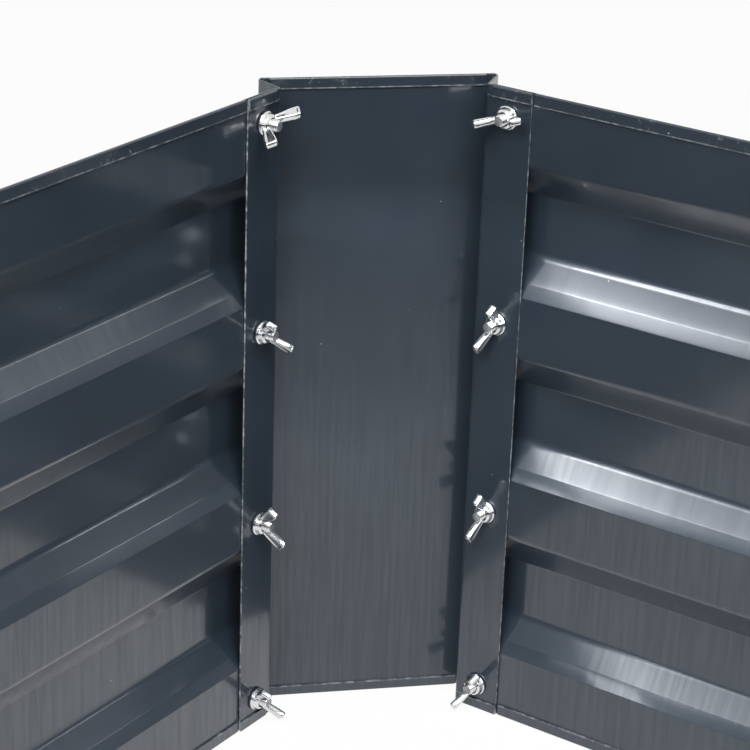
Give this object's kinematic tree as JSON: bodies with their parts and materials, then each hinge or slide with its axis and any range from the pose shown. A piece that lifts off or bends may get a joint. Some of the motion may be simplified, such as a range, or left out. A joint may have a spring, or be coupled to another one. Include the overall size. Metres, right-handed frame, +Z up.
{
  "type": "raised garden bed",
  "caption": "Rectangular open-bottomed raised garden bed of ribbed painted steel panels, bolted to angled corner plates with wing nuts.",
  "frame": {"origin": "middle of the bed's footprint, on the ground", "axes": "+X along the long sides, to the right; +Y to the back; +Z up"},
  "size_m": [1.2, 0.9, 0.3],
  "materials": {
    "painted_steel": "smooth anthracite coil paint, satin to gloss",
    "zinc_plated_steel": "bright zinc plating"
  },
  "bodies": {
    "bed": {"back_panel": "painted_steel", "bolt_and_nut_back_left_long_1": "zinc_plated_steel", "bolt_and_nut_back_left_long_2": "zinc_plated_steel", "bolt_and_nut_back_left_long_3": "zinc_plated_steel", "bolt_and_nut_back_left_long_4": "zinc_plated_steel", "bolt_and_nut_back_left_short_1": "zinc_plated_steel", "bolt_and_nut_back_left_short_2": "zinc_plated_steel", "bolt_and_nut_back_left_short_3": "zinc_plated_steel", "bolt_and_nut_back_left_short_4": "zinc_plated_steel", "bolt_and_nut_front_left_long_1": "zinc_plated_steel", "bolt_and_nut_front_left_long_2": "zinc_plated_steel", "bolt_and_nut_front_left_long_3": "zinc_plated_steel", "bolt_and_nut_front_left_long_4": "zinc_plated_steel", "bolt_and_nut_front_left_short_1": "zinc_plated_steel", "bolt_and_nut_front_left_short_2": "zinc_plated_steel", "bolt_and_nut_front_left_short_3": "zinc_plated_steel", "bolt_and_nut_front_left_short_4": "zinc_plated_steel", "bolt_and_nut_front_right_long_1": "zinc_plated_steel", "bolt_and_nut_front_right_long_2": "zinc_plated_steel", "bolt_and_nut_front_right_long_3": "zinc_plated_steel", "bolt_and_nut_front_right_long_4": "zinc_plated_steel", "bolt_and_nut_front_right_short_1": "zinc_plated_steel", "bolt_and_nut_front_right_short_2": "zinc_plated_steel", "bolt_and_nut_front_right_short_3": "zinc_plated_steel", "bolt_and_nut_front_right_short_4": "zinc_plated_steel", "corner_plate_back_left": "painted_steel", "corner_plate_back_right": "painted_steel", "corner_plate_front_left": "painted_steel", "corner_plate_front_right": "painted_steel", "front_panel": "painted_steel", "left_panel": "painted_steel", "right_panel": "painted_steel"},
    "wing_nut_back_right_long_1": {"wing_nut_back_right_long_1": "zinc_plated_steel"},
    "bolt_back_right_long_1": {"bolt_back_right_long_1": "zinc_plated_steel"},
    "wing_nut_back_right_long_2": {"wing_nut_back_right_long_2": "zinc_plated_steel"},
    "bolt_back_right_long_2": {"bolt_back_right_long_2": "zinc_plated_steel"},
    "wing_nut_back_right_long_3": {"wing_nut_back_right_long_3": "zinc_plated_steel"},
    "bolt_back_right_long_3": {"bolt_back_right_long_3": "zinc_plated_steel"},
    "wing_nut_back_right_long_4": {"wing_nut_back_right_long_4": "zinc_plated_steel"},
    "bolt_back_right_long_4": {"bolt_back_right_long_4": "zinc_plated_steel"},
    "wing_nut_back_right_short_1": {"wing_nut_back_right_short_1": "zinc_plated_steel"},
    "bolt_back_right_short_1": {"bolt_back_right_short_1": "zinc_plated_steel"},
    "wing_nut_back_right_short_2": {"wing_nut_back_right_short_2": "zinc_plated_steel"},
    "bolt_back_right_short_2": {"bolt_back_right_short_2": "zinc_plated_steel"},
    "wing_nut_back_right_short_3": {"wing_nut_back_right_short_3": "zinc_plated_steel"},
    "bolt_back_right_short_3": {"bolt_back_right_short_3": "zinc_plated_steel"},
    "wing_nut_back_right_short_4": {"wing_nut_back_right_short_4": "zinc_plated_steel"},
    "bolt_back_right_short_4": {"bolt_back_right_short_4": "zinc_plated_steel"}
  },
  "joints": [
    {"name": "turn_nut_long_1", "type": "hinge", "parent": "bed", "child": "wing_nut_back_right_long_1", "pos_m": [0.51136, 0.43461, 0.2873], "axis": [0, -1, 0], "range_deg": [0, 3240]},
    {"name": "release_bolt_long_1", "type": "slide", "parent": "bed", "child": "bolt_back_right_long_1", "axis": [0, 1, 0], "range_m": [0, 0.00725]},
    {"name": "turn_nut_long_2", "type": "hinge", "parent": "bed", "child": "wing_nut_back_right_long_2", "pos_m": [0.51136, 0.43461, 0.19367], "axis": [0, -1, 0], "range_deg": [0, 3240]},
    {"name": "release_bolt_long_2", "type": "slide", "parent": "bed", "child": "bolt_back_right_long_2", "axis": [0, 1, 0], "range_m": [0, 0.00725]},
    {"name": "turn_nut_long_3", "type": "hinge", "parent": "bed", "child": "wing_nut_back_right_long_3", "pos_m": [0.51136, 0.43461, 0.10213], "axis": [0, -1, 0], "range_deg": [0, 3240]},
    {"name": "release_bolt_long_3", "type": "slide", "parent": "bed", "child": "bolt_back_right_long_3", "axis": [0, 1, 0], "range_m": [0, 0.00725]},
    {"name": "turn_nut_long_4", "type": "hinge", "parent": "bed", "child": "wing_nut_back_right_long_4", "pos_m": [0.51136, 0.43461, 0.0127], "axis": [0, -1, 0], "range_deg": [0, 3240]},
    {"name": "release_bolt_long_4", "type": "slide", "parent": "bed", "child": "bolt_back_right_long_4", "axis": [0, 1, 0], "range_m": [0, 0.00725]},
    {"name": "turn_nut_short_1", "type": "hinge", "parent": "bed", "child": "wing_nut_back_right_short_1", "pos_m": [0.58461, 0.36136, 0.2873], "axis": [-1, 0, 0], "range_deg": [0, 3240]},
    {"name": "release_bolt_short_1", "type": "slide", "parent": "bed", "child": "bolt_back_right_short_1", "axis": [1, 0, 0], "range_m": [0, 0.00725]},
    {"name": "turn_nut_short_2", "type": "hinge", "parent": "bed", "child": "wing_nut_back_right_short_2", "pos_m": [0.58461, 0.36136, 0.19367], "axis": [-1, 0, 0], "range_deg": [0, 3240]},
    {"name": "release_bolt_short_2", "type": "slide", "parent": "bed", "child": "bolt_back_right_short_2", "axis": [1, 0, 0], "range_m": [0, 0.00725]},
    {"name": "turn_nut_short_3", "type": "hinge", "parent": "bed", "child": "wing_nut_back_right_short_3", "pos_m": [0.58461, 0.36136, 0.10213], "axis": [-1, 0, 0], "range_deg": [0, 3240]},
    {"name": "release_bolt_short_3", "type": "slide", "parent": "bed", "child": "bolt_back_right_short_3", "axis": [1, 0, 0], "range_m": [0, 0.00725]},
    {"name": "turn_nut_short_4", "type": "hinge", "parent": "bed", "child": "wing_nut_back_right_short_4", "pos_m": [0.58461, 0.36136, 0.0127], "axis": [-1, 0, 0], "range_deg": [0, 3240]},
    {"name": "release_bolt_short_4", "type": "slide", "parent": "bed", "child": "bolt_back_right_short_4", "axis": [1, 0, 0], "range_m": [0, 0.00725]}
  ],
  "couplings": [
    {"joint": "release_bolt_long_1", "follows": "turn_nut_long_1", "m_per_rad": 0.00012732},
    {"joint": "release_bolt_long_2", "follows": "turn_nut_long_2", "m_per_rad": 0.00012732},
    {"joint": "release_bolt_long_3", "follows": "turn_nut_long_3", "m_per_rad": 0.00012732},
    {"joint": "release_bolt_long_4", "follows": "turn_nut_long_4", "m_per_rad": 0.00012732},
    {"joint": "release_bolt_short_1", "follows": "turn_nut_short_1", "m_per_rad": 0.00012732},
    {"joint": "release_bolt_short_2", "follows": "turn_nut_short_2", "m_per_rad": 0.00012732},
    {"joint": "release_bolt_short_3", "follows": "turn_nut_short_3", "m_per_rad": 0.00012732},
    {"joint": "release_bolt_short_4", "follows": "turn_nut_short_4", "m_per_rad": 0.00012732}
  ]
}
